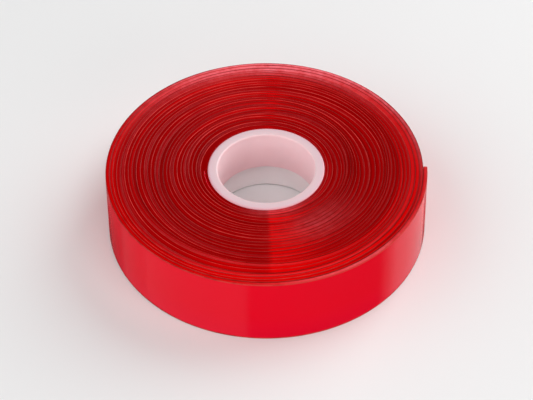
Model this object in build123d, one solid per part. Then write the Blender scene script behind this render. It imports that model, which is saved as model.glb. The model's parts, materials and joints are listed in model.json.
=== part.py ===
"""Roll of thick tape lying on its side: a gel strip with a red film on its back, wound on a moulded core.

Millimetres and degrees. +Z is the bore's axis, pointing up, and the origin is where that axis meets the
surface that the roll rests on. The strip starts on the core and is wound anticlockwise, seen from above,
so its free end points that way too. The last stretch is cut into links, each hinged at the film's outer
face, because the film bends there but doesn't stretch. Most of the film on the last link is a tab that
peels off the gel.
"""

import os
from math import cos, degrees, radians, sin

from build123d import *

# The strip.
tape_width = 20.0
gel_thickness = 0.89
film_thickness = 0.10
half_turns = 53
tip_azimuth = 0.0

# The core: its upper bore holds a spindle, and below the shoulder the bore is relieved.
bore_radius = 12.7
core_wall = 2.65
core_recess = 0.2
shoulder_height = 8.0
relief_depth = 1.3
rim_round = 0.5
edge_round = 0.3

# The free end, as links along the strip, and the film on the last link: a fixed stretch, then the tab.
link_count = 7
link_length = 11.0
tip_film_length = 4.0
tab_length = 14.0
tab_count = 3

# Clearances: under the free end, between the film's tab and the gel, and between neighbouring links.
lay_gap = 0.05
release_gap = 0.03
link_gap = 0.04

half_circle = 180.0
round_share = 0.45
core_radius = bore_radius + core_wall
pitch = gel_thickness + film_thickness
tip_link_length = tip_film_length + tab_length
tip_wound = half_circle * half_turns
start_azimuth = tip_azimuth - tip_wound


def along(azimuth, distance):
    """The point at this distance from the bore's axis, in the direction of the azimuth."""
    return Vector(distance * cos(radians(azimuth)), distance * sin(radians(azimuth)))


def half_turn_centre(index):
    """Even half turns are centred on the bore's axis, and odd ones half a pitch towards the start."""
    return along(start_azimuth, pitch / 2 * (index % 2))


def half_turn_radius(index, offset):
    """The radius of a half turn, measured this far out from the gel's inner face."""
    return core_radius + index * pitch / 2 + offset


def arc_of(length):
    """The wound angle of a length of the strip at its free end, measured along the film's outer face."""
    return degrees(length / half_turn_radius(half_turns - 1, pitch))


def spiral(offset, wound_from, wound_to):
    """Tangent arcs that follow the strip between two wound angles, counted in degrees from its start."""
    arcs = []
    wound = wound_from
    while wound < wound_to - 1e-6:
        index = int((wound + 1e-6) // half_circle)
        arc_end = min(wound_to, half_circle * (index + 1))
        centre = half_turn_centre(index)
        radius = half_turn_radius(index, offset)
        arcs.append(CenterArc(centre, radius, start_azimuth + wound, arc_end - wound))
        wound = arc_end
    return arcs


def band(inner_offset, outer_offset, wound_from, wound_to):
    """A stretch of one layer of the strip, as wide as the tape."""
    inner = spiral(inner_offset, wound_from, wound_to)
    outer = spiral(outer_offset, wound_from, wound_to)
    start = Line(inner[0] @ 0, outer[0] @ 0)
    end = Line(inner[-1] @ 1, outer[-1] @ 1)
    return extrude(Face(Wire([*inner, end, *outer, start])), tape_width, dir=(0, 0, 1))


def core():
    """The moulded ring: a shouldered bore, a rounded rim and softly rounded edges elsewhere."""
    top = tape_width - core_recess
    relieved_radius = bore_radius + relief_depth
    profile = Polyline(
        (bore_radius, shoulder_height),
        (relieved_radius, shoulder_height),
        (relieved_radius, core_recess),
        (core_radius, core_recess),
        (core_radius, top),
        (bore_radius, top),
        close=True,
    )
    ring = revolve(Plane.XZ * make_face(profile), Axis.Z)
    circles = ring.edges().filter_by(GeomType.CIRCLE)
    rim = [edge for edge in circles if edge.center().Z > top - 1e-3]
    others = [edge for edge in circles if edge.center().Z < top - 1e-3]
    ring = fillet(rim, min(rim_round, round_share * core_wall))
    return fillet(others, min(edge_round, round_share * relief_depth, round_share * (core_wall - relief_depth)))


def link_span(index):
    """The wound angles of one link of the free end, whose hinge is at the first of them."""
    start = first_link_wound + arc_of(index * link_length)
    end = tip_wound if index == link_count else start + arc_of(link_length - link_gap)
    return start, end


def tab_span(index):
    """The wound angles of one piece of the film's tab, whose hinge is at the first of them."""
    length = tab_length / tab_count
    start = tab_wound + arc_of(index * length)
    end = tip_wound if index == tab_count - 1 else start + arc_of(length - link_gap)
    return start, end


def save(shape, node):
    """Write one piece, named as its node."""
    shape.label = node
    export_step(shape, f"parts/{node}.step")


os.makedirs("parts", exist_ok=True)

save(core(), "core")

tip_link_wound = tip_wound - arc_of(tip_link_length)
first_link_wound = tip_link_wound - arc_of(link_count * link_length)
tab_wound = tip_wound - arc_of(tab_length)
winding_end = first_link_wound - arc_of(link_gap)
save(band(0, gel_thickness, 0, winding_end), "gel_winding")
save(band(gel_thickness, pitch, 0, winding_end), "film_winding")

film_inside = gel_thickness + lay_gap
for link in range(link_count + 1):
    save(band(lay_gap, film_inside, *link_span(link)), f"free_end_gel_{link + 1}")
    film_end = min(link_span(link)[1], tab_wound - arc_of(link_gap))
    film = band(film_inside, film_inside + film_thickness, link_span(link)[0], film_end)
    save(film, f"free_end_film_{link + 1}")

tab_inside = film_inside + release_gap
for piece in range(tab_count):
    save(band(tab_inside, tab_inside + film_thickness, *tab_span(piece)), f"film_tab_{piece + 1}")
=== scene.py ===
"""A roll of gel tape with a red film on its back, wound on a white moulded core and lying on its side.

Lengths are in metres and angles in degrees, azimuths from +X towards +Y. The strip starts on the core and is
wound anticlockwise, seen from above. Its last stretch, the free end, bends as the roll is unwound, and the
film's tab peels off the gel at the tip. A place on the strip is given by its wound angle, which is how far
round the roll the strip has gone since its start.
"""

import json
import logging
from dataclasses import dataclass, replace
from enum import Enum
from functools import partial
from math import atan2, cos, degrees, pi, radians, sin, tan
from typing import Any, Callable, Iterator, Mapping, Sequence

import bpy
import numpy as np
from bpy.types import Material, NodeSocket, NodeTree, Object, ShaderNode
from mathutils import Matrix, Vector


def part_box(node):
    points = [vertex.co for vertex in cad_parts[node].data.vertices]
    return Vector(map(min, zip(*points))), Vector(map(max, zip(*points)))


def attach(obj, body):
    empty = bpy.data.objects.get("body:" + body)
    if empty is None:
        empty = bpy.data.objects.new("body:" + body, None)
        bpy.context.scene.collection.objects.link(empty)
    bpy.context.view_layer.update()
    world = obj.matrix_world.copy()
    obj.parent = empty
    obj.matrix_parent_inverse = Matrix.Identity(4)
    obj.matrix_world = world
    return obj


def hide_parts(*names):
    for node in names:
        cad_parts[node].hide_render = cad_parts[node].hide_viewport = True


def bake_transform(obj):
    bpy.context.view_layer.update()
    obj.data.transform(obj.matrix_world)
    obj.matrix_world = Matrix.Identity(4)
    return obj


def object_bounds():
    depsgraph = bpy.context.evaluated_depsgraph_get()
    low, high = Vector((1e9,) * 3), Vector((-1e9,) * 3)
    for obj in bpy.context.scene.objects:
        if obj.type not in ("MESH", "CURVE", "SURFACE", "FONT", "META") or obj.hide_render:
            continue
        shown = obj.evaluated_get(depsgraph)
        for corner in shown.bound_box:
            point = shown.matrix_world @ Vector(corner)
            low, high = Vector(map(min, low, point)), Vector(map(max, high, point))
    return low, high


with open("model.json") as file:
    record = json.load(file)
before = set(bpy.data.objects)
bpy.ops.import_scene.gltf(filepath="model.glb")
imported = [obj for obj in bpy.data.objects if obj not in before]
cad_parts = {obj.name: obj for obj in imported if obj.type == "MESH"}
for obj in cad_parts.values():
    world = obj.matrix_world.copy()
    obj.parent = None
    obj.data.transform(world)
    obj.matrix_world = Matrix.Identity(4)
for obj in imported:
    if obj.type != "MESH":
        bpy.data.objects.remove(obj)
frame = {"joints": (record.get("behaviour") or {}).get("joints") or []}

CAD_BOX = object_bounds()
MM = 0.001
HALF_CIRCLE = 180.0
FULL_CIRCLE = 360.0
# Angles and places that differ by less than these are the same.
ANGLE_SLACK = 1e-6
PLACE_SLACK = 0.001 * MM
# The colour sockets of a Mix node have the same names as its other sockets, so they go by number.
MIX_FIRST, MIX_SECOND, MIX_RESULT = 6, 7, 2

# add_node, which already has its tree.
AddNode = Callable[..., ShaderNode]
# A function from wound angles to how far a stretch of the strip lies out from its place.
Lift = Callable[[np.ndarray], np.ndarray]

log = logging.getLogger("tape_roll")


def linear(colour: str) -> tuple[float, float, float, float]:
    """Turn an sRGB hex colour into the linear colour that a shader takes.

    Args:
        colour: The colour as "#rrggbb".

    Returns:
        Linear red, green and blue, and an alpha of 1.
    """
    channels = (int(colour[place : place + 2], 16) / 255 for place in (1, 3, 5))
    return (*(c / 12.92 if c <= 0.04045 else ((c + 0.055) / 1.055) ** 2.4 for c in channels), 1.0)


def add_node(
    tree: NodeTree,
    kind: str,
    inputs: Mapping[Any, Any] | None = None,
    stops: Sequence[tuple[float, str]] = (),
    **settings: Any,
) -> ShaderNode:
    """Add a shader node with its settings, values and links.

    Args:
        tree: The material's or world's node tree.
        kind: Blender's name for the kind of node.
        inputs: For each input, by name or number, its value or the socket that feeds it.
        stops: A colour ramp's places from 0 to 1, in order, with their sRGB hex colours.
        settings: The node's own properties.

    Returns:
        The new node.
    """
    node = tree.nodes.new(kind)
    for name, value in settings.items():
        setattr(node, name, value)
    if stops:
        elements = node.color_ramp.elements
        while len(elements) < len(stops):
            elements.new(0.5)
        for element, (place, colour) in zip(elements, stops):
            element.position, element.color = place, linear(colour)
    for name, value in (inputs or {}).items():
        if isinstance(value, NodeSocket):
            tree.links.new(value, node.inputs[name])
        else:
            node.inputs[name].default_value = value
    return node


def new_material(name: str) -> tuple[Material, AddNode]:
    """Start a material with no nodes.

    Args:
        name: The finish's name.

    Returns:
        The material, and add_node, which already has the material's tree.
    """
    material = bpy.data.materials.new(name)
    material.use_nodes = True
    material.node_tree.nodes.clear()
    return material, partial(add_node, material.node_tree)


def direction(azimuth: float, elevation: float = 0.0) -> Vector:
    """The unit vector that points this way, in degrees."""
    turn, high = radians(azimuth), radians(elevation)
    return Vector((cos(high) * cos(turn), cos(high) * sin(turn), sin(high)))


def share_of(unevenness: np.ndarray) -> np.ndarray:
    """Squash unevenness into shares between 0 and 1."""
    return 0.5 + 0.5 * np.tanh(unevenness)


def deselect() -> None:
    """Deselect every object."""
    bpy.ops.object.select_all(action="DESELECT")


def activate(piece: Object) -> None:
    """Select one object alone and make it the active one.

    Args:
        piece: The object.
    """
    deselect()
    piece.select_set(True)
    bpy.context.view_layer.objects.active = piece


def draw_outline(points: Sequence[Sequence[float]]) -> Object:
    """Draw a closed line, as a circle whose vertices are moved to its points.

    Args:
        points: The line's points, in order.

    Returns:
        The line, selected and active.
    """
    deselect()
    bpy.ops.mesh.primitive_circle_add(
        vertices=len(points), radius=MM, fill_type="NOTHING", location=(0.0, 0.0, 0.0)
    )
    outline = bpy.context.object
    for vertex, point in zip(outline.data.vertices, points):
        vertex.co = point
    return outline


def spin_outline(outline: Object, steps: int, sweep: float, centre: Sequence[float]) -> None:
    """Spin a closed line about an upright axis into a tube.

    Args:
        outline: The line.
        steps: How many steps the spin has.
        sweep: The angle that it covers. Above 0 it goes clockwise, seen from above.
        centre: A point of the axis.
    """
    activate(outline)
    bpy.ops.object.mode_set(mode="EDIT")
    bpy.ops.mesh.select_mode(type="VERT")
    bpy.ops.mesh.select_all(action="SELECT")
    bpy.ops.mesh.spin(steps=steps, dupli=False, angle=radians(sweep), center=centre, axis=(0.0, 0.0, 1.0))
    bpy.ops.object.mode_set(mode="OBJECT")


def close_tube(tube: Object, smooth_angle: float) -> None:
    """Weld a tube's seams, cap its open ends, point its faces outwards and smooth its soft edges.

    Args:
        tube: The tube.
        smooth_angle: The widest turn between two faces that is shaded smooth.
    """
    activate(tube)
    bpy.ops.object.mode_set(mode="EDIT")
    bpy.ops.mesh.select_all(action="SELECT")
    bpy.ops.mesh.remove_doubles(threshold=PLACE_SLACK)
    bpy.ops.mesh.fill_holes(sides=0)
    bpy.ops.mesh.select_all(action="SELECT")
    bpy.ops.mesh.normals_make_consistent(inside=False)
    bpy.ops.object.mode_set(mode="OBJECT")
    bpy.ops.object.shade_smooth_by_angle(angle=radians(smooth_angle))
    log.info("%s: %d faces", tube.name, len(tube.data.polygons))


@dataclass(frozen=True)
class GlossFilm:
    """Red polyester (PET) release film: calendered, so glossy, with the faint waviness of a wound film."""

    face: str = "#f20020"
    # Painted light: the foot's colour stands in for the table's light near the foot of the wall.
    foot: str = "#f2002a"
    foot_height: float = 8.0 * MM
    roughness: float = 0.15
    index: float = 1.5
    tint: str = "#ffdeff"
    wave: float = 9.0 * MM
    wave_height: float = 0.012 * MM

    def material(self) -> Material:
        """Make the film's material, slightly more crimson towards its foot: painted light from the table
        below.

        Returns:
            The material.
        """
        material, add = new_material("polyester_film_gloss")
        place = add("ShaderNodeTexCoord").outputs["Object"]
        height = add("ShaderNodeSeparateXYZ", {"Vector": place}).outputs["Z"]
        span = {"Value": height, "From Min": 0.0, "From Max": self.foot_height}
        share = add("ShaderNodeMapRange", span)
        stops = [(0.0, self.foot), (1.0, self.face)]
        colour = add("ShaderNodeValToRGB", {"Fac": share.outputs["Result"]}, stops).outputs["Color"]
        noise = {"Vector": place, "Scale": 1 / self.wave, "Detail": 1.0, "Roughness": 0.4}
        waves = add("ShaderNodeTexNoise", noise).outputs["Fac"]
        relief = {"Height": waves, "Distance": self.wave_height, "Strength": 1.0}
        bump = add("ShaderNodeBump", relief)
        surface = {
            "Base Color": colour,
            "Roughness": self.roughness,
            "IOR": self.index,
            "Specular Tint": linear(self.tint),
            "Normal": bump.outputs["Normal"],
        }
        shader = add("ShaderNodeBsdfPrincipled", surface)
        add("ShaderNodeOutputMaterial", {"Surface": shader.outputs["BSDF"]})
        return material


@dataclass(frozen=True)
class SlitEdge:
    """The film's slit edge: the blade leaves it frosty, so it scatters light and looks paler."""

    pale: str = "#dc3733"
    deep: str = "#920605"
    roughness: float = 0.42
    index: float = 1.5
    specular: float = 0.15
    patch: float = 3.5 * MM

    def material(self) -> Material:
        """Make the slit edge's material, with rubbed and clean stretches along the strip and painted glints,
        shade and highlights.

        Returns:
            The material.
        """
        material, add = new_material("polyester_film_slit_edge")
        place = add("ShaderNodeTexCoord").outputs["Object"]
        noise = {"Vector": place, "Scale": 1 / self.patch, "Detail": 2.0}
        patches = add("ShaderNodeTexNoise", noise).outputs["Fac"]
        # This attribute holds the edges' real frosting, with painted glints, painted shade where no glint
        # falls and a painted highlight along the outermost turn mixed in.
        frost_and_light = add("ShaderNodeAttribute", attribute_name="frost_and_light").outputs["Fac"]
        wear_and_light = add("ShaderNodeMath", {0: patches, 1: frost_and_light}, operation="MULTIPLY", use_clamp=True)
        stops = [(0.12, self.deep), (0.85, self.pale)]
        colour = add("ShaderNodeValToRGB", {"Fac": wear_and_light.outputs[0]}, stops).outputs["Color"]
        surface = {
            "Base Color": colour,
            "Roughness": self.roughness,
            "IOR": self.index,
            "Specular IOR Level": self.specular,
        }
        shader = add("ShaderNodeBsdfPrincipled", surface)
        add("ShaderNodeOutputMaterial", {"Surface": shader.outputs["BSDF"]})
        return material


@dataclass(frozen=True)
class AcrylicGel:
    """Clear acrylic gel, seen through its own depth against the red film: deep red and wet-looking."""

    deep: str = "#860001"
    bright: str = "#a00002"
    lit: str = "#dc0103"
    # The pale pink serves both real dusting and a painted haze of sheen and highlights.
    dusty_sheen: str = "#f6747e"
    roughness: float = 0.22
    index: float = 1.42
    specular: float = 0.04
    streak: float = 1.6 * MM

    def material(self) -> Material:
        """Make the gel's material: each turn has its own tone, with painted light in it,
        and dusting and a painted haze of sheen lie on it in patches.

        Returns:
            The material.
        """
        material, add = new_material("acrylic_gel_wound")
        place = add("ShaderNodeTexCoord").outputs["Object"]
        # The tone carries painted light as well as each turn's own red: brighter outer turns and lit sectors
        # of the gel.
        tone = add("ShaderNodeAttribute", attribute_name="tone").outputs["Fac"]
        # This attribute mixes real dusting with a painted haze of sheen and highlights.
        dust_and_sheen = add("ShaderNodeAttribute", attribute_name="dust_and_sheen").outputs["Fac"]
        stops = [(0.0, self.deep), (0.5, self.bright), (1.0, self.lit)]
        body = add("ShaderNodeValToRGB", {"Fac": tone}, stops).outputs["Color"]
        noise = {"Vector": place, "Scale": 1 / self.streak, "Detail": 3.0, "Roughness": 0.6}
        specks = add("ShaderNodeTexNoise", noise).outputs["Fac"]
        dust_and_sheen_share = add("ShaderNodeMath", {0: specks, 1: dust_and_sheen}, operation="MULTIPLY", use_clamp=True)
        mix = {"Factor": dust_and_sheen_share.outputs[0], MIX_FIRST: body, MIX_SECOND: linear(self.dusty_sheen)}
        colour = add("ShaderNodeMix", mix, data_type="RGBA")
        surface = {
            "Base Color": colour.outputs[MIX_RESULT],
            "Roughness": self.roughness,
            "IOR": self.index,
            "Specular IOR Level": self.specular,
        }
        shader = add("ShaderNodeBsdfPrincipled", surface)
        add("ShaderNodeOutputMaterial", {"Surface": shader.outputs["BSDF"]})
        return material


@dataclass(frozen=True)
class MilkyPolyethylene:
    """White injection-moulded polyethylene (PE): milky, so the red of the winding glows through its skin."""

    bore: str = "#ffd8dc"
    lip: str = "#e6c8cc"
    rim: str = "#e2c3ca"
    skirt: str = "#ecaab4"
    foot: str = "#fffafa"
    foot_height: float = 8.0 * MM
    inner: float = 12.7 * MM
    outer: float = 15.35 * MM
    roughness: float = 0.36
    index: float = 1.51
    milkiness: float = 0.15
    glow: tuple[float, float, float] = (1.0, 0.45, 0.45)
    glow_depth: float = 1.2 * MM
    grain: float = 0.6 * MM
    grain_height: float = 0.01 * MM

    def material(self) -> Material:
        """Make the core's material, with the winding's red glow painted in by how near the skin is to the
        wound strip.

        Returns:
            The material.
        """
        material, add = new_material("polyethylene_moulded_milky")
        place = add("ShaderNodeTexCoord").outputs["Object"]
        flat = add("ShaderNodeVectorMath", {0: place, 1: (1.0, 1.0, 0.0)}, operation="MULTIPLY")
        radius = add("ShaderNodeVectorMath", {0: flat.outputs[0]}, operation="LENGTH")
        span = {"Value": radius.outputs["Value"], "From Min": self.inner, "From Max": self.outer}
        share = add("ShaderNodeMapRange", span)
        # Painted light: the pink of the bore and the skirt is the winding's red glow through the milky wall,
        # and the bore's pale colour stands in for the light that passes through it.
        stops = [(0.02, self.bore), (0.16, self.lip), (0.72, self.rim), (0.98, self.skirt)]
        skin = add("ShaderNodeValToRGB", {"Fac": share.outputs["Result"]}, stops).outputs["Color"]
        height = add("ShaderNodeSeparateXYZ", {"Vector": place}).outputs["Z"]
        below = add("ShaderNodeMath", {0: height, 1: self.foot_height}, operation="LESS_THAN")
        mix = {"Factor": below.outputs[0], MIX_FIRST: skin, MIX_SECOND: linear(self.foot)}
        colour = add("ShaderNodeMix", mix, data_type="RGBA")
        noise = {"Vector": place, "Scale": 1 / self.grain, "Detail": 2.0}
        grain = add("ShaderNodeTexNoise", noise).outputs["Fac"]
        relief = {"Height": grain, "Distance": self.grain_height, "Strength": 0.5}
        bump = add("ShaderNodeBump", relief)
        surface = {
            "Base Color": colour.outputs[MIX_RESULT],
            "Roughness": self.roughness,
            "IOR": self.index,
            "Subsurface Weight": self.milkiness,
            "Subsurface Radius": self.glow,
            "Subsurface Scale": self.glow_depth,
            "Normal": bump.outputs["Normal"],
        }
        shader = add("ShaderNodeBsdfPrincipled", surface)
        add("ShaderNodeOutputMaterial", {"Surface": shader.outputs["BSDF"]})
        return material


@dataclass(frozen=True)
class PolishedTable:
    """A pale lacquered table top. In the roll's gloss it shows as its polish does, reflecting the softboxes.

    Its own sheen there is painted by place: dark in front of the roll, a painted red bounce from the roll
    beside it, and painted pale behind it.
    """

    top: str = "#eeeeee"
    polish: float = 0.168
    polish_roughness: float = 0.07
    front_sheen: str = "#121212"
    painted_roll_bounce: str = "#a02832"
    rear_sheen: str = "#b4b4b4"
    front: float = -10.0 * MM
    rear: float = 14.0 * MM

    def material(self) -> Material:
        """Make the table's material: a plain pale top that glossy rays see as dim polish.

        Returns:
            The material.
        """
        material, add = new_material("table_lacquer_pale")
        in_gloss = add("ShaderNodeLightPath").outputs["Is Glossy Ray"]
        plain = add("ShaderNodeBsdfDiffuse", {"Color": linear(self.top)})
        gloss = {"Color": (self.polish,) * 3 + (1.0,), "Roughness": self.polish_roughness}
        shine = add("ShaderNodeBsdfGlossy", gloss)
        place = add("ShaderNodeTexCoord").outputs["Object"]
        depth = add("ShaderNodeSeparateXYZ", {"Vector": place}).outputs["Y"]
        span = {"Value": depth, "From Min": self.front, "From Max": self.rear}
        share = add("ShaderNodeMapRange", span)
        # Painted reflection: the sheen that the roll's gloss sees turns from dark in front, over a painted
        # red bounce from the roll, to pale behind.
        stops = [(0.0, self.front_sheen), (0.6, self.painted_roll_bounce), (1.0, self.rear_sheen)]
        sheen = add("ShaderNodeValToRGB", {"Fac": share.outputs["Result"]}, stops).outputs["Color"]
        body = add("ShaderNodeBsdfDiffuse", {"Color": sheen})
        layers = {0: shine.outputs["BSDF"], 1: body.outputs["BSDF"]}
        lacquer = add("ShaderNodeAddShader", layers)
        mix = {0: in_gloss, 1: plain.outputs["BSDF"], 2: lacquer.outputs["Shader"]}
        mixed = add("ShaderNodeMixShader", mix)
        add("ShaderNodeOutputMaterial", {"Surface": mixed.outputs["Shader"]})
        return material


@dataclass(frozen=True)
class Spiral:
    """The line that the strip is wound on: half turns about two centres, as in the solids."""

    core_radius: float = 15.35 * MM
    pitch: float = 0.99 * MM
    half_turns: int = 53
    start_azimuth: float = 180.0

    def centre(self, index: int) -> Vector:
        """Even half turns are centred on the bore's axis, and odd ones half a pitch towards the start."""
        return direction(self.start_azimuth) * (self.pitch / 2 * (index % 2))

    def radius(self, index: int, offset: float) -> float:
        """The radius of a half turn, measured this far out from the strip's inner face."""
        return self.core_radius + index * self.pitch / 2 + offset

    def point(self, wound: float, offset: float, height: float) -> Vector:
        """Find a point of the strip.

        Args:
            wound: Its wound angle.
            offset: How far out from the strip's inner face.
            height: How far above the table.

        Returns:
            The point.
        """
        index = min(int((wound + ANGLE_SLACK) // HALF_CIRCLE), self.half_turns - 1)
        out = direction(self.start_azimuth + wound) * self.radius(index, offset)
        return self.centre(index) + out + Vector((0.0, 0.0, height))

    def wound_at(self, place: Sequence[float]) -> float:
        """Find the wound angle of a place on the last half turn, such as a hinge of the free end.

        Args:
            place: The place.

        Returns:
            Its wound angle.
        """
        azimuth = degrees(atan2(place[1], place[0]))
        last = HALF_CIRCLE * (self.half_turns - 1)
        return last + (azimuth - self.start_azimuth - last) % FULL_CIRCLE

    def arc_of(self, length: float) -> float:
        """The angle that a length of the free end covers, measured along the film's outer face."""
        return degrees(length / self.radius(self.half_turns - 1, self.pitch))

    def runs(self, start: float, end: float) -> Iterator[tuple[int, float, float]]:
        """Divide a stretch at the half turns.

        Args:
            start: The wound angle where it starts.
            end: The wound angle where it ends.

        Yields:
            Each half turn's number, and where the stretch starts on it and how many degrees it covers.
        """
        wound = start
        while wound < end - ANGLE_SLACK:
            index = int((wound + ANGLE_SLACK) // HALF_CIRCLE)
            stop = min(end, HALF_CIRCLE * (index + 1))
            yield index, wound, stop - wound
            wound = stop


@dataclass(frozen=True)
class Unevenness:
    """Seeded, smooth unevenness along the strip, from minus its size to its size or so.

    Its slowest and fastest waves are given in waves per turn, so neighbouring turns aren't alike.
    """

    seed: int
    size: float = 1.0
    slowest: float = 0.3
    fastest: float = 2.6
    waves: int = 9

    def at(self, wound: np.ndarray) -> np.ndarray:
        """Find the unevenness at some wound angles.

        Args:
            wound: The wound angles.

        Returns:
            One value for each angle.
        """
        source = np.random.RandomState(self.seed)
        total = np.zeros_like(wound)
        for frequency in np.linspace(self.slowest, self.fastest, self.waves):
            detuned = frequency * source.uniform(0.9, 1.1)
            total += np.sin(np.radians(wound) * detuned + source.uniform(0, 2 * pi))
        return self.size * total * (2 / self.waves) ** 0.5


@dataclass(frozen=True)
class Banding:
    """Seeded, smooth unevenness over the roll's side, in bands, from minus its size to its size or so."""

    seed: int
    size: float = 1.0
    width: float = 5.0 * MM
    waves: int = 8
    lobes: int = 4

    def at(self, radius: np.ndarray, azimuth: np.ndarray) -> np.ndarray:
        """Find the unevenness at some places of the roll's side.

        Args:
            radius: Their distances from the bore's axis.
            azimuth: Their azimuths.

        Returns:
            One value for each place.
        """
        source = np.random.RandomState(self.seed)
        total = np.zeros_like(radius)
        for number in range(self.waves):
            slope = 2 * pi / (self.width * source.uniform(0.6, 1.8)) * source.choice([-1.0, 1.0])
            lobes = np.radians(azimuth) * (number % self.lobes)
            total += np.sin(lobes + radius * slope + source.uniform(0, 2 * pi))
        return self.size * total * (2 / self.waves) ** 0.5


@dataclass(frozen=True)
class Patch:
    """A patch on the side of the roll, given by its middle and fading out from there.

    A sharp one fades that many times faster towards smaller azimuths.
    """

    azimuth: float
    radius: float
    half_sweep: float
    half_width: float
    strength: float
    sharpness: float = 1.0

    def at(self, radius: np.ndarray, azimuth: np.ndarray) -> np.ndarray:
        """Find how strong the patch is at some places of the roll's side.

        Args:
            radius: Their distances from the bore's axis.
            azimuth: Their azimuths.

        Returns:
            Values from 0 to the patch's strength.
        """
        turn = ((azimuth - self.azimuth + HALF_CIRCLE) % FULL_CIRCLE - HALF_CIRCLE) / self.half_sweep
        turn = np.where(turn < 0, self.sharpness * turn, turn)
        out = (radius - self.radius) / self.half_width
        return self.strength * np.exp(-(turn**2) - out**2)


class Layer(Enum):
    """The strip's two layers."""

    GEL = "gel"
    FILM = "film"


# Each layer's slit edge, as shares of its thickness and drops in millimetres. The soft gel bulges between the
# films that hold it, and the blade turns a small burr of the film towards the gel.
EDGES = {
    Layer.GEL: (
        (0.0, 0.17),
        (0.05, 0.12),
        (0.18, 0.08),
        (0.5, 0.06),
        (0.82, 0.08),
        (0.95, 0.12),
        (1.0, 0.17),
    ),
    Layer.FILM: (
        (0.0, 0.55),
        (0.0, 0.30),
        (-0.5, 0.16),
        (-0.7, 0.07),
        (-0.2, 0.015),
        (0.4, 0.0),
        (0.85, 0.03),
        (1.0, 0.10),
        (1.0, 0.40),
    ),
}


@dataclass(frozen=True)
class Section:
    """A layer's cross-section as a closed line of (offset from the strip's inner face, height) points."""

    layer: Layer
    points: tuple[tuple[float, float], ...]

    @staticmethod
    def draw(layer: Layer, inside: float, thickness: float, width: float) -> "Section":
        """Draw a layer with the same slit edge at its top and its foot.

        Args:
            layer: The layer.
            inside: The offset of its inner face.
            thickness: Its thickness.
            width: The tape's width.

        Returns:
            The cross-section.
        """
        top = [(inside + share * thickness, width - drop * MM) for share, drop in EDGES[layer]]
        foot = [(inside + share * thickness, drop * MM) for share, drop in reversed(EDGES[layer])]
        return Section(layer, tuple(top + foot))

    def inset(self, depth: float) -> "Section":
        """Draw the same section smaller, by a depth on every side.

        Args:
            depth: How far each side is drawn in.

        Returns:
            The smaller section.
        """
        spans = [(min(values), max(values)) for values in zip(*self.points)]
        middle = [(low + high) / 2 for low, high in spans]
        scale = [1 - depth / ((high - low) / 2) for low, high in spans]
        drawn_in = (
            tuple(centre + (value - centre) * share for value, centre, share in zip(point, middle, scale))
            for point in self.points
        )
        return Section(self.layer, tuple(drawn_in))


@dataclass(frozen=True)
class Rings:
    """Where a spun stretch's vertices lie: a row for each ring, and a column for each point of its section.

    The radius is that of the strip's inner face. The share goes from 0 there to 1 at its outer face.
    """

    layer: Layer
    wound: np.ndarray
    azimuth: np.ndarray
    radius: np.ndarray
    offset: np.ndarray
    share: np.ndarray
    upper: np.ndarray

    @staticmethod
    def along(spiral: Spiral, section: Section, wounds: np.ndarray) -> "Rings":
        """List the rings of a stretch.

        Args:
            spiral: The line that it is spun along.
            section: Its cross-section.
            wounds: Each ring's wound angle.

        Returns:
            The rings.
        """
        offsets, heights = np.array(section.points).T
        wound, offset = np.meshgrid(wounds, offsets, indexing="ij")
        return Rings(
            layer=section.layer,
            wound=wound,
            azimuth=spiral.start_azimuth + wound,
            radius=spiral.core_radius + spiral.pitch * wound / FULL_CIRCLE,
            offset=offset,
            share=offset / spiral.pitch,
            upper=np.broadcast_to(heights > heights.mean(), wound.shape),
        )


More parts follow.
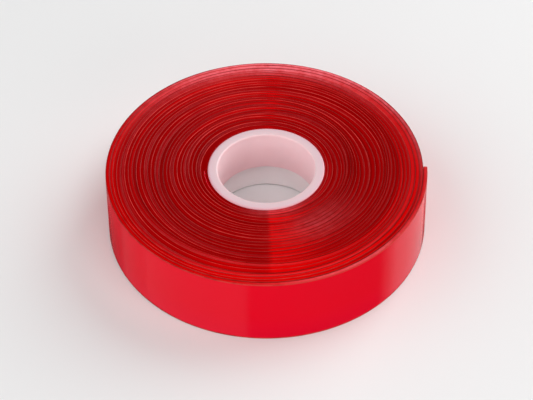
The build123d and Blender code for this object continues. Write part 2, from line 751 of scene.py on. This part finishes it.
@dataclass(frozen=True)
class SideLook:
    """How the side of the roll looks from place to place: the gel's tone, dusting and painted sheen, and the
    film edges' frosting and painted light.

    Each turn's gel has its tone, with strands in it that differ as strand_turns turns do, and painted light
    makes the outer turns brighter and lights sectors of the gel. Real dusting lies where it gathers, and a
    painted haze of sheen and highlights lies in patches. The film's edges are frosty, with painted glints,
    painted shade where no glint falls, and a painted highlight along the outermost turn.
    """

    tone: float = 0.20
    turn_tones: Unevenness = Unevenness(17, 0.08, 0.2, 1.2)
    strand_tones: Unevenness = Unevenness(29, 0.11, 0.2, 1.2)
    strand_turns: float = 25.0
    # Painted light: the outer turns are made brighter, standing in for light that gets into the gel through
    # the outer wall.
    painted_outer_light: float = 0.42
    painted_outer_light_from: float = 33.0 * MM
    painted_outer_light_width: float = 7.0 * MM
    dusting: Unevenness = Unevenness(19, 0.14, 0.3, 2.0)
    dust_threshold: float = 0.12
    frost_and_light: float = 0.68
    frosting: Unevenness = Unevenness(23, 0.36, 0.3, 2.2)
    frost_range: tuple[float, float] = (0.1, 2.0)
    # Painted highlight: the outermost turn's edges are made paler, as a rim that catches the light.
    painted_rim_highlight: float = 0.9
    painted_rim_highlight_from: float = 40.9 * MM
    painted_rim_highlight_width: float = 0.4 * MM
    # Painted light: brighter sectors of the gel, where light shines through it.
    painted_light_patches: tuple[Patch, ...] = (
        Patch(-87.0, 26.0 * MM, 27.0, 22.0 * MM, 0.60, sharpness=12.0),
        Patch(-85.0, 28.0 * MM, 50.0, 30.0 * MM, 0.10),
        Patch(95.0, 28.0 * MM, 45.0, 30.0 * MM, 0.36),
        Patch(-105.0, 38.0 * MM, 16.0, 5.0 * MM, 0.25),
        Patch(-10.0, 37.0 * MM, 62.0, 9.0 * MM, 0.20),
        Patch(85.5, 27.0 * MM, 4.5, 15.0 * MM, 0.20),
    )
    # Painted haze: pale pink patches of sheen and highlights on the gel, added to the real dusting.
    painted_haze_patches: tuple[Patch, ...] = (
        Patch(90.0, 40.6 * MM, 38.0, 3.0 * MM, 2.0),
        Patch(108.0, 28.0 * MM, 40.0, 16.0 * MM, 0.03),
        Patch(38.0, 41.0 * MM, 34.0, 1.2 * MM, 0.8),
        Patch(-58.0, 24.0 * MM, 20.0, 4.0 * MM, 0.30),
        Patch(-78.0, 16.0 * MM, 26.0, 1.5 * MM, 0.45),
        Patch(-62.0, 41.8 * MM, 26.0, 0.4 * MM, 2.0),
    )
    # Painted shade: the slit edges are made deeper where no glint falls on them.
    painted_glint_gaps: tuple[Patch, ...] = (
        Patch(-15.0, 34.0 * MM, 34.0, 12.0 * MM, 0.9),
        Patch(86.0, 28.0 * MM, 5.0, 20.0 * MM, 1.4),
    )
    # Painted light: the slit edges are made paler where they face away from the lamps.
    painted_edge_light: tuple[Patch, ...] = (Patch(114.0, 28.0 * MM, 32.0, 16.0 * MM, 1.1),)

    def mark(self, piece: Object, rings: Rings) -> None:
        """Store each vertex's tone, dusting and frosting as attributes, which the materials read.

        Painted light is mixed into all three.

        Args:
            piece: The spun piece.
            rings: Where its vertices lie.
        """
        strand = rings.wound + FULL_CIRCLE * self.strand_turns * rings.share
        tone = self.tone + self.turn_tones.at(rings.wound) + self.strand_tones.at(strand)
        # Painted light: brighter outer turns and lit sectors of the gel.
        tone = tone + self.painted_outer_light * np.clip((rings.radius - self.painted_outer_light_from) / self.painted_outer_light_width, 0, 1)
        tone = tone + self.total(self.painted_light_patches, rings)
        dust_and_sheen = np.clip(self.dusting.at(strand) - self.dust_threshold, 0, 1)
        # Painted haze: patches of sheen and highlights, added to the real dusting.
        dust_and_sheen = dust_and_sheen + self.total(self.painted_haze_patches, rings)
        frost_and_light = np.clip(self.frost_and_light + self.frosting.at(rings.wound), *self.frost_range)
        # Painted shade and painted light on the slit edges, by patch.
        frost_and_light = frost_and_light * (1 - self.total(self.painted_glint_gaps, rings) + self.total(self.painted_edge_light, rings))
        # Painted highlight along the outermost turn's edges.
        frost_and_light = frost_and_light + self.painted_rim_highlight * np.clip((rings.radius - self.painted_rim_highlight_from) / self.painted_rim_highlight_width, 0, 1)
        for label, values in (("tone", tone), ("dust_and_sheen", dust_and_sheen), ("frost_and_light", frost_and_light)):
            attribute = piece.data.attributes.new(label, "FLOAT", "POINT")
            attribute.data.foreach_set("value", values.astype(np.float32).reshape(-1))

    @staticmethod
    def total(patches: Sequence[Patch], rings: Rings) -> np.ndarray:
        """Add up how strong some patches are at each vertex."""
        return sum(patch.at(rings.radius, rings.azimuth) for patch in patches)


@dataclass(frozen=True)
class Winder:
    """Winds a section along the spiral and settles it as uneven turns.

    The edges drop by turns and in bands, the first turn drops more, the film's edges stand proud or lean,
    and the turns crowd together, but less near the core and the outside.
    """

    spiral: Spiral
    look: SideLook = SideLook()
    drop: float = 0.12 * MM
    top_drops: Unevenness = Unevenness(3)
    foot_drops: Unevenness = Unevenness(5)
    band_drop: float = 0.08 * MM
    bands: Banding = Banding(1011)
    start_drop: float = 0.35 * MM
    start_width: float = 1.6 * MM
    leaning: Unevenness = Unevenness(7, 0.05 * MM, 0.2, 1.4)
    film_drop: float = 0.04 * MM
    film_foot_share: float = 0.7
    proud: float = 0.08 * MM
    standing: Unevenness = Unevenness(9, 1.5, 0.5, 3.1)
    crowding: Banding = Banding(1013, 0.22 * MM, 9.0 * MM)
    calm_inside: float = 3.0 * MM
    calm_outside: float = 2.0 * MM
    hug_share: float = 0.3
    smooth_angle: float = 50.0

    def wind(
        self, name: str, section: Section, start: float, end: float, step: float, lift: Lift | None = None
    ) -> Object:
        """Spin a section along the spiral, settle it and cap both ends.

        Args:
            name: The piece's name.
            section: The cross-section.
            start: The wound angle where it starts.
            end: The wound angle where it ends.
            step: The degrees between two cross-sections.
            lift: How far out the stretch lies.

        Returns:
            The finished piece.
        """
        lengths = []
        for index, wound, sweep in self.spiral.runs(start, end):
            outline = [self.spiral.point(wound, offset, height) for offset, height in section.points]
            length = draw_outline(outline)
            steps = max(1, round(sweep / step))
            spin_outline(length, steps, -sweep, self.spiral.centre(index))
            wounds = wound + sweep * np.arange(steps + 1) / steps
            self.settle(length, Rings.along(self.spiral, section, wounds), lift)
            lengths.append(length)
        piece = lengths[0]
        activate(piece)
        for length in lengths:
            length.select_set(True)
        if len(lengths) > 1:
            bpy.ops.object.join()
        piece.name = piece.data.name = name
        close_tube(piece, self.smooth_angle)
        return piece

    def settle(self, piece: Object, rings: Rings, lift: Lift | None) -> None:
        """Move a spun piece's vertices from their even places, and mark how they look.

        Args:
            piece: The piece.
            rings: Where its vertices lie.
            lift: How far out the stretch lies.
        """
        places = np.zeros(rings.wound.size * 3)
        piece.data.vertices.foreach_get("co", places)
        places = places.reshape(*rings.wound.shape, 3)
        places[:, :, 2] += self.rise(rings)
        out = self.crowd_out(rings)
        if lift is not None:
            out = out + lift(rings.wound)
        places[:, :, 0] += np.cos(np.radians(rings.azimuth)) * out
        places[:, :, 1] += np.sin(np.radians(rings.azimuth)) * out
        if rings.layer is Layer.GEL:
            self.hug_core(places, rings)
        piece.data.vertices.foreach_set("co", places.reshape(-1))
        piece.data.update()
        self.look.mark(piece, rings)

    def rise(self, rings: Rings) -> np.ndarray:
        """Find how far the vertices rise, within the tape's width: down at the top, and up at the foot.

        Args:
            rings: Where the vertices lie.

        Returns:
            How far each vertex rises.
        """
        at_start = np.clip(1 - (rings.radius - self.spiral.core_radius) / self.start_width, 0, 1)
        drop = self.drop * share_of(self.top_drops.at(rings.wound))
        drop = drop + self.band_drop * share_of(self.bands.at(rings.radius, rings.azimuth))
        drop = drop + self.start_drop * at_start
        foot = self.drop * share_of(self.foot_drops.at(rings.wound))
        lean = self.leaning.at(rings.wound)
        if rings.layer is Layer.GEL:
            top = np.minimum(0.0, -drop + lean * (2 * rings.share - 1))
            return np.where(rings.upper, top, foot)
        proud = self.proud * share_of(self.standing.at(rings.wound))
        top = np.minimum(0.0, -drop + lean + proud - self.film_drop)
        return np.where(rings.upper, top, self.film_foot_share * foot)

    def crowd_out(self, rings: Rings) -> np.ndarray:
        """Find how far outwards the vertices are crowded. The foot stays in place.

        Args:
            rings: Where the vertices lie.

        Returns:
            How far each vertex goes outwards.
        """
        radius = rings.radius + rings.offset
        last = self.spiral.radius(self.spiral.half_turns - 1, 0.0)
        fade = np.clip((radius - self.spiral.core_radius) / self.calm_inside, 0, 1)
        fade = fade * np.clip((last - radius) / self.calm_outside, 0, 1)
        return fade * self.crowding.at(radius, rings.azimuth) * rings.upper

    def hug_core(self, places: np.ndarray, rings: Rings) -> None:
        """Let the gel of the first turn fill the wedge between the core and the step over the strip's start.

        Args:
            places: The vertices' places, changed in place.
            rings: Where the vertices lie.
        """
        second_half = (rings.wound >= HALF_CIRCLE) & (rings.wound <= FULL_CIRCLE)
        inner = second_half & (rings.share < self.hug_share)
        distance = np.hypot(places[:, :, 0], places[:, :, 1])
        scale = np.where(inner, (self.spiral.core_radius + rings.offset) / distance, 1.0)
        places[:, :, :2] *= scale[:, :, None]


@dataclass(frozen=True)
class Core:
    """The moulded core: a lathed ring with a shouldered bore and a rounded rim."""

    bore_radius: float = 12.7 * MM
    relief_depth: float = 1.3 * MM
    shoulder_height: float = 8.0 * MM
    rim_round: float = 0.5 * MM
    rim_segments: int = 5
    edge_round: float = 0.3 * MM
    edge_segments: int = 3
    steps: int = 160
    smooth_angle: float = 35.0
    finish: MilkyPolyethylene = MilkyPolyethylene()

    def build(self) -> None:
        """Lathe the core and dress it."""
        low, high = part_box("core")
        relieved = self.bore_radius + self.relief_depth
        corners = [
            (self.bore_radius, self.shoulder_height, self.edge_round),
            (relieved, self.shoulder_height, self.edge_round),
            (relieved, low.z, self.edge_round),
            (high.x, low.z, self.edge_round),
            (high.x, high.z, self.rim_round),
            (self.bore_radius, high.z, self.rim_round),
        ]
        ring = draw_outline([(radius, 0.0, height) for radius, height, _ in corners])
        ring.name = ring.data.name = "core_ring"
        self.round_corners(ring, corners, self.edge_round, self.edge_segments)
        self.round_corners(ring, corners, self.rim_round, self.rim_segments)
        spin_outline(ring, self.steps, FULL_CIRCLE, (0.0, 0.0, 0.0))
        close_tube(ring, self.smooth_angle)
        ring.data.materials.append(self.finish.material())
        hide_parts("core")
        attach(ring, "roll")

    @staticmethod
    def round_corners(
        ring: Object, corners: Sequence[tuple[float, float, float]], rounding: float, segments: int
    ) -> None:
        """Round the profile's corners that have this rounding.

        Args:
            ring: The profile, standing in the XZ plane.
            corners: The radius, height and rounding of all its corners.
            rounding: How far the rounding reaches from each corner.
            segments: How many straight pieces it has.
        """
        bpy.ops.object.mode_set(mode="EDIT")
        bpy.ops.mesh.select_mode(type="VERT")
        bpy.ops.mesh.select_all(action="DESELECT")
        bpy.ops.object.mode_set(mode="OBJECT")
        for vertex in ring.data.vertices:
            vertex.select = any(
                abs(vertex.co.x - radius) < PLACE_SLACK and abs(vertex.co.z - height) < PLACE_SLACK
                for radius, height, size in corners
                if size == rounding
            )
        bpy.ops.object.mode_set(mode="EDIT")
        bpy.ops.mesh.bevel(offset=rounding, segments=segments, affect="VERTICES")
        bpy.ops.object.mode_set(mode="OBJECT")


@dataclass(frozen=True)
class Link:
    """A link of a bending chain: its number from 1, and the wound angles where its bend starts and ends."""

    number: int
    count: int
    start: float
    end: float

    @property
    def first(self) -> bool:
        """Whether the chain starts with this link."""
        return self.number == 1

    @property
    def last(self) -> bool:
        """Whether the chain ends with this link."""
        return self.number == self.count

    def passed(self, wound: np.ndarray) -> np.ndarray:
        """How much of the bend is passed at some wound angles, from 0 to 1, with a gentle start and end."""
        share = np.clip((wound - self.start) / (self.end - self.start), 0, 1)
        return share * share * (3 - 2 * share)


@dataclass
class TapeStrip:
    """The strip: its wound part, its free end and the film's tab.

    The overreach, a share of a link's length, is how far the reach measured for each bend runs past its own
    link.
    Every other link has tongues that reach under its neighbours, and is inset a little so that they stay
    inside.
    """

    spiral: Spiral = Spiral()
    gel_thickness: float = 0.89 * MM
    film_thickness: float = 0.10 * MM
    edge_width: float = 0.45 * MM
    lay_gap: float = 0.05 * MM
    release_gap: float = 0.03 * MM
    link_length: float = 11.0 * MM
    tab_length: float = 14.0 * MM
    tab_pieces: int = 3
    wound_step: float = 3.0
    free_step: float = 0.5
    overreach: float = 0.31
    tongue: float = 0.2 * MM
    tongue_inset: float = 0.004 * MM
    gel_finish: AcrylicGel = AcrylicGel()
    film_finish: GlossFilm = GlossFilm()
    edge_finish: SlitEdge = SlitEdge()

    def __post_init__(self) -> None:
        """Read the tape's width and the hinges from the solids, and make the sections and the materials."""
        low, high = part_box("gel_winding")
        self.width = high.z - low.z
        self.winder = Winder(self.spiral)
        self.gel = Section.draw(Layer.GEL, 0.0, self.gel_thickness, self.width)
        self.film = Section.draw(Layer.FILM, self.gel_thickness, self.film_thickness, self.width)
        self.tip = HALF_CIRCLE * self.spiral.half_turns
        half_link = self.spiral.arc_of(self.link_length / 2)
        half_tab = self.spiral.arc_of(self.tab_length / self.tab_pieces / 2)
        self.tab_links = self.links("film_tab", half_tab)
        self.end_links = self.links("strip_link", half_link)
        self.end_links[-1] = replace(self.end_links[-1], end=self.tab_links[0].start)
        self.gel_material = self.gel_finish.material()
        self.film_material = self.film_finish.material()
        self.edge_material = self.edge_finish.material()

    def links(self, body: str, half: float) -> list[Link]:
        """Find a chain's links from its hinges.

        Args:
            body: What the names of the chain's bodies start with.
            half: How far each link reaches from its hinge, in degrees.

        Returns:
            The links, in order.
        """
        joints = [joint for joint in frame["joints"] if joint["child"].startswith(body)]
        hinges = [self.spiral.wound_at(joint["pos_m"]) for joint in joints]
        count = len(hinges)
        return [Link(number, count, at - half, at + half) for number, at in enumerate(hinges, start=1)]

    def end_lift(self, wound: np.ndarray) -> np.ndarray:
        """How far the free end lies out from the turn below: nothing at its root, then the laying gap."""
        return self.lay_gap * self.end_links[0].passed(wound)

    def tab_lift(self, wound: np.ndarray) -> np.ndarray:
        """How far the film's tab lies out: as the free end, and then the release gap as well."""
        return self.end_lift(wound) + self.release_gap * self.tab_links[0].passed(wound)

    def dress(self, piece: Object, layer: Layer) -> None:
        """Give a piece of the strip its materials.

        Args:
            piece: The piece.
            layer: Its layer. The film's slit edges get a finish of their own.
        """
        if layer is Layer.GEL:
            piece.data.materials.append(self.gel_material)
            return
        piece.data.materials.append(self.film_material)
        piece.data.materials.append(self.edge_material)
        for face in piece.data.polygons:
            in_edge = face.center.z > self.width - self.edge_width or face.center.z < self.edge_width
            face.material_index = int(in_edge)

    def build(self) -> None:
        """Build the wound strip, then the free end, then the tab."""
        for name, section, node in (
            ("gel_turns", self.gel, "gel_winding"),
            ("film_turns", self.film, "film_winding"),
        ):
            turns = self.winder.wind(name, section, 0.0, self.end_links[0].start, self.wound_step)
            self.dress(turns, section.layer)
            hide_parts(node)
            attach(turns, "roll")
        self.build_free_end()
        self.build_tab()

    def build_free_end(self) -> None:
        """Build the free end, one piece for each hinge of the strip."""
        for link in self.end_links:
            for section, end in ((self.gel, self.tip if link.last else link.end), (self.film, link.end)):
                layer = section.layer.value
                name = f"free_end_{layer}_bend_{link.number}"
                piece = self.wind_link(name, section, link, end, self.end_lift)
                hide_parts(f"free_end_{layer}_{link.number}")
                self.bend(piece, link)

    def build_tab(self) -> None:
        """Build the film's tab, one piece for each hinge of the film."""
        bodies = [f"strip_link_{len(self.end_links)}"]
        bodies += [f"film_tab_{link.number}" for link in self.tab_links]
        for link in self.tab_links:
            end = self.tip if link.last else link.end
            piece = self.wind_link(f"film_tab_bend_{link.number}", self.film, link, end, self.tab_lift)
            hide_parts(f"film_tab_{link.number}")
            self.bend(piece, link)

    def wind_link(self, name: str, section: Section, link: Link, end: float, lift: Lift) -> Object:
        """Wind and dress one piece of a chain that bends. Odd pieces have tongues.

        Args:
            name: The piece's name.
            section: Its cross-section.
            link: Its link.
            end: The wound angle where it ends, which can be past its bend.
            lift: How far out the chain lies.

        Returns:
            The finished piece.
        """
        start = link.start
        if link.number % 2:
            section = section.inset(self.tongue_inset)
            tongue = self.spiral.arc_of(self.tongue)
            start -= 0.0 if link.first else tongue
            end += 0.0 if link.last else tongue
        piece = self.winder.wind(name, section, start, end, self.free_step, lift)
        self.dress(piece, section.layer)
        return piece

    def bend(self, piece: Object, link: Link) -> None:
        """Measure how far a piece's bend would reach, and bake the piece's place into its mesh.

        The reach runs past the piece by the overreach, into its neighbours. Its two end points are found but
        not used.

        Args:
            piece: The piece.
            link: Its link.
        """
        lead = 0.0 if link.first else self.overreach
        tail = 0.0 if link.last else self.overreach
        reach = (link.end - link.start) / (1 - lead - tail)
        start, end = (
            tuple(self.spiral.point(wound, self.spiral.pitch, self.width / 2))
            for wound in (link.start - lead * reach, link.end + tail * reach)
        )
        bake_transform(piece)


@dataclass(frozen=True)
class Softbox:
    """A studio softbox that faces the roll, given by the directions that it covers as seen from there.

    The line to it rises at its elevation, and its foot and head are measured up from that line.
    """

    name: str
    azimuth: float
    half_spread: float
    distance: float
    foot: float
    head: float
    radiance: float
    elevation: float = 0.0

    def build(self) -> None:
        """Set the softbox up, unseen by the camera itself."""
        width = 2 * self.distance * tan(radians(self.half_spread))
        height = self.head - self.foot
        place = direction(self.azimuth, self.elevation) * self.distance
        place.z += self.foot + height / 2
        turn = (radians(90 - self.elevation), 0.0, radians(90 + self.azimuth))
        deselect()
        bpy.ops.object.light_add(type="AREA", location=place, rotation=turn)
        lamp = bpy.context.object
        lamp.name = lamp.data.name = self.name
        lamp.data.shape = "RECTANGLE"
        lamp.data.size, lamp.data.size_y = width, height
        lamp.data.energy = self.radiance * pi * width * height
        lamp.visible_camera = False


@dataclass(frozen=True)
class Camera:
    """The camera, in front of the roll and above it, aimed down slightly past the middle of its top.

    The lens and the sensor's width are in millimetres, as Blender gives them.
    """

    distance: float = 600.0 * MM
    elevation: float = 43.9
    aim_down: float = 0.814
    roll: float = -0.504
    lens: float = 154.8743
    sensor_width: float = 36.0
    nearest: float = 0.01
    farthest: float = 20.0

    def build(self) -> None:
        """Set the camera up and aim it."""
        place = direction(-90.0, self.elevation) * self.distance + Vector((0.0, 0.0, CAD_BOX[1][2]))
        ahead = direction(90.0, -self.elevation - self.aim_down)
        level = Vector((1.0, 0.0, 0.0))
        upright = level.cross(ahead)
        turn = radians(self.roll)
        right = level * cos(turn) + upright * sin(turn)
        up = upright * cos(turn) - level * sin(turn)
        deselect()
        bpy.ops.object.camera_add(location=place)
        camera = bpy.context.object
        camera.name = camera.data.name = "camera"
        camera.matrix_world = Matrix.Translation(place) @ Matrix((right, up, -ahead)).transposed().to_4x4()
        camera.data.sensor_fit = "HORIZONTAL"
        camera.data.sensor_width = self.sensor_width
        camera.data.lens = self.lens
        camera.data.clip_start, camera.data.clip_end = self.nearest, self.farthest
        camera.data.dof.use_dof = False
        bpy.context.scene.camera = camera


@dataclass(frozen=True)
class Studio:
    """The table, the softboxes, the faint room light and the camera."""

    table: PolishedTable = PolishedTable()
    table_size: float = 6.0
    table_gap: float = 0.02 * MM
    boxes: tuple[Softbox, ...] = (
        Softbox("softbox_left", 213.0, 43.0, 0.5, 0.10, 1.10, 1.45),
        Softbox("softbox_left_rear", 157.5, 12.5, 0.5, 0.10, 0.90, 0.95),
        Softbox("softbox_rear", 130.0, 15.0, 0.5, 0.10, 0.90, 0.35),
        Softbox("softbox_right", 39.0, 25.0, 0.5, 0.10, 0.95, 3.2),
        Softbox("softbox_right_fringe_1", 11.5, 2.5, 0.5, 0.10, 0.95, 2.5),
        Softbox("softbox_right_fringe_2", 6.5, 2.5, 0.5, 0.10, 0.95, 1.7),
        Softbox("softbox_right_fringe_3", 1.5, 2.5, 0.5, 0.10, 0.95, 0.9),
        Softbox("softbox_front", -60.0, 32.0, 0.55, 0.08, 0.30, 1.9),
        Softbox("softbox_overhead", -65.0, 17.6501, 1.1, -0.2, 0.2, 3.0, elevation=64.0),
    )
    room_colour: str = "#f4f4f6"
    room_light: float = 0.06
    camera: Camera = Camera()

    def build(self) -> None:
        """Set up the whole studio."""
        self.build_table()
        for box in self.boxes:
            box.build()
        self.build_room()
        self.camera.build()

    def build_table(self) -> None:
        """Lay the table just under the roll."""
        deselect()
        bpy.ops.mesh.primitive_plane_add(size=self.table_size, location=(0.0, 0.0, -self.table_gap))
        table = bpy.context.object
        table.name = table.data.name = "table_top"
        bpy.ops.object.transform_apply(location=True, rotation=True, scale=True)
        table.data.materials.append(self.table.material())

    def build_room(self) -> None:
        """Fill the room with faint, even light."""
        world = bpy.data.worlds.new("studio_room")
        world.use_nodes = True
        tree = world.node_tree
        tree.nodes.clear()
        glow = add_node(
            tree, "ShaderNodeBackground", {"Color": linear(self.room_colour), "Strength": self.room_light}
        )
        add_node(tree, "ShaderNodeOutputWorld", {"Surface": glow.outputs["Background"]})
        bpy.context.scene.world = world


def main() -> None:
    """Build the roll and the studio."""
    logging.basicConfig(level=logging.INFO, format="%(message)s")
    bpy.context.scene.view_settings.view_transform = "Standard"
    Core().build()
    TapeStrip().build()
    Studio().build()


if __name__ == "__main__":
    main()
